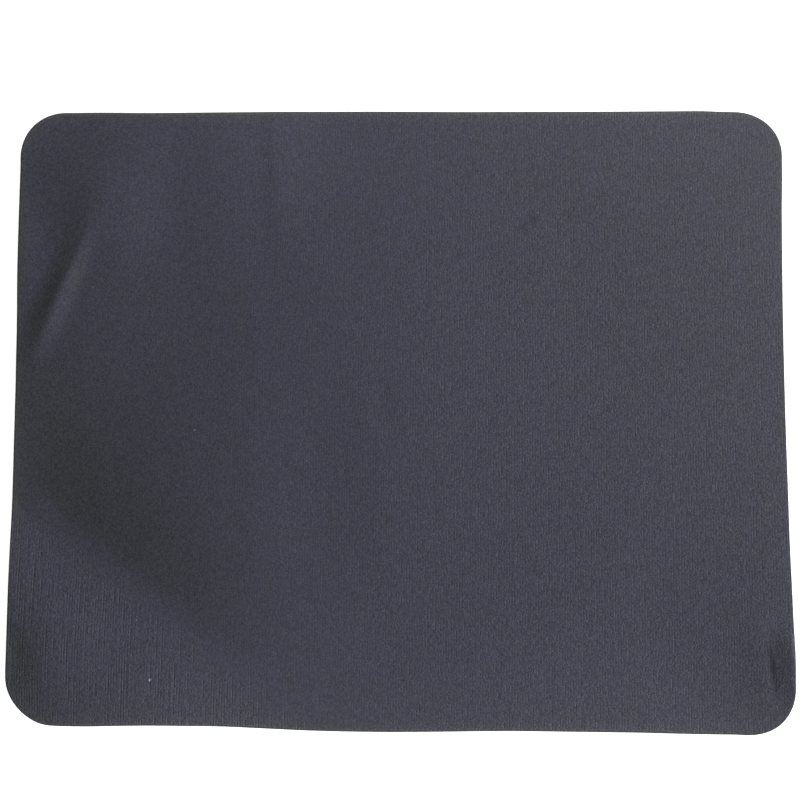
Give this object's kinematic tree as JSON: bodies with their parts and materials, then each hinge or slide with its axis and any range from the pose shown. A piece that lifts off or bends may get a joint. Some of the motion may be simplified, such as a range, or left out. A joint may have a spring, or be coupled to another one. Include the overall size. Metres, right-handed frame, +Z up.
{
  "type": "mouse pad",
  "caption": "Thin rounded-corner desk pad with a knitted cloth face on a non-slip foam rubber base, lying in soft waves, for a computer mouse to glide on.",
  "frame": {"origin": "on the desk, under the middle of the cut outline", "axes": "+X along the longer side, to the user's right; +Y away from the user; +Z up, out of the cloth"},
  "size_m": [0.25, 0.2, 0.0049],
  "materials": {
    "knit_cloth": "fine matt polyester knit, dark blue-grey",
    "bond": "dark hot-melt film, seen only as a line at the cut",
    "foam_rubber": "black closed-cell foam rubber, matt, fine pores at the cut"
  },
  "bodies": {
    "root": {"face_cloth": "knit_cloth", "bonding_film": "bond", "foam_base": "foam_rubber"}
  },
  "joints": []
}
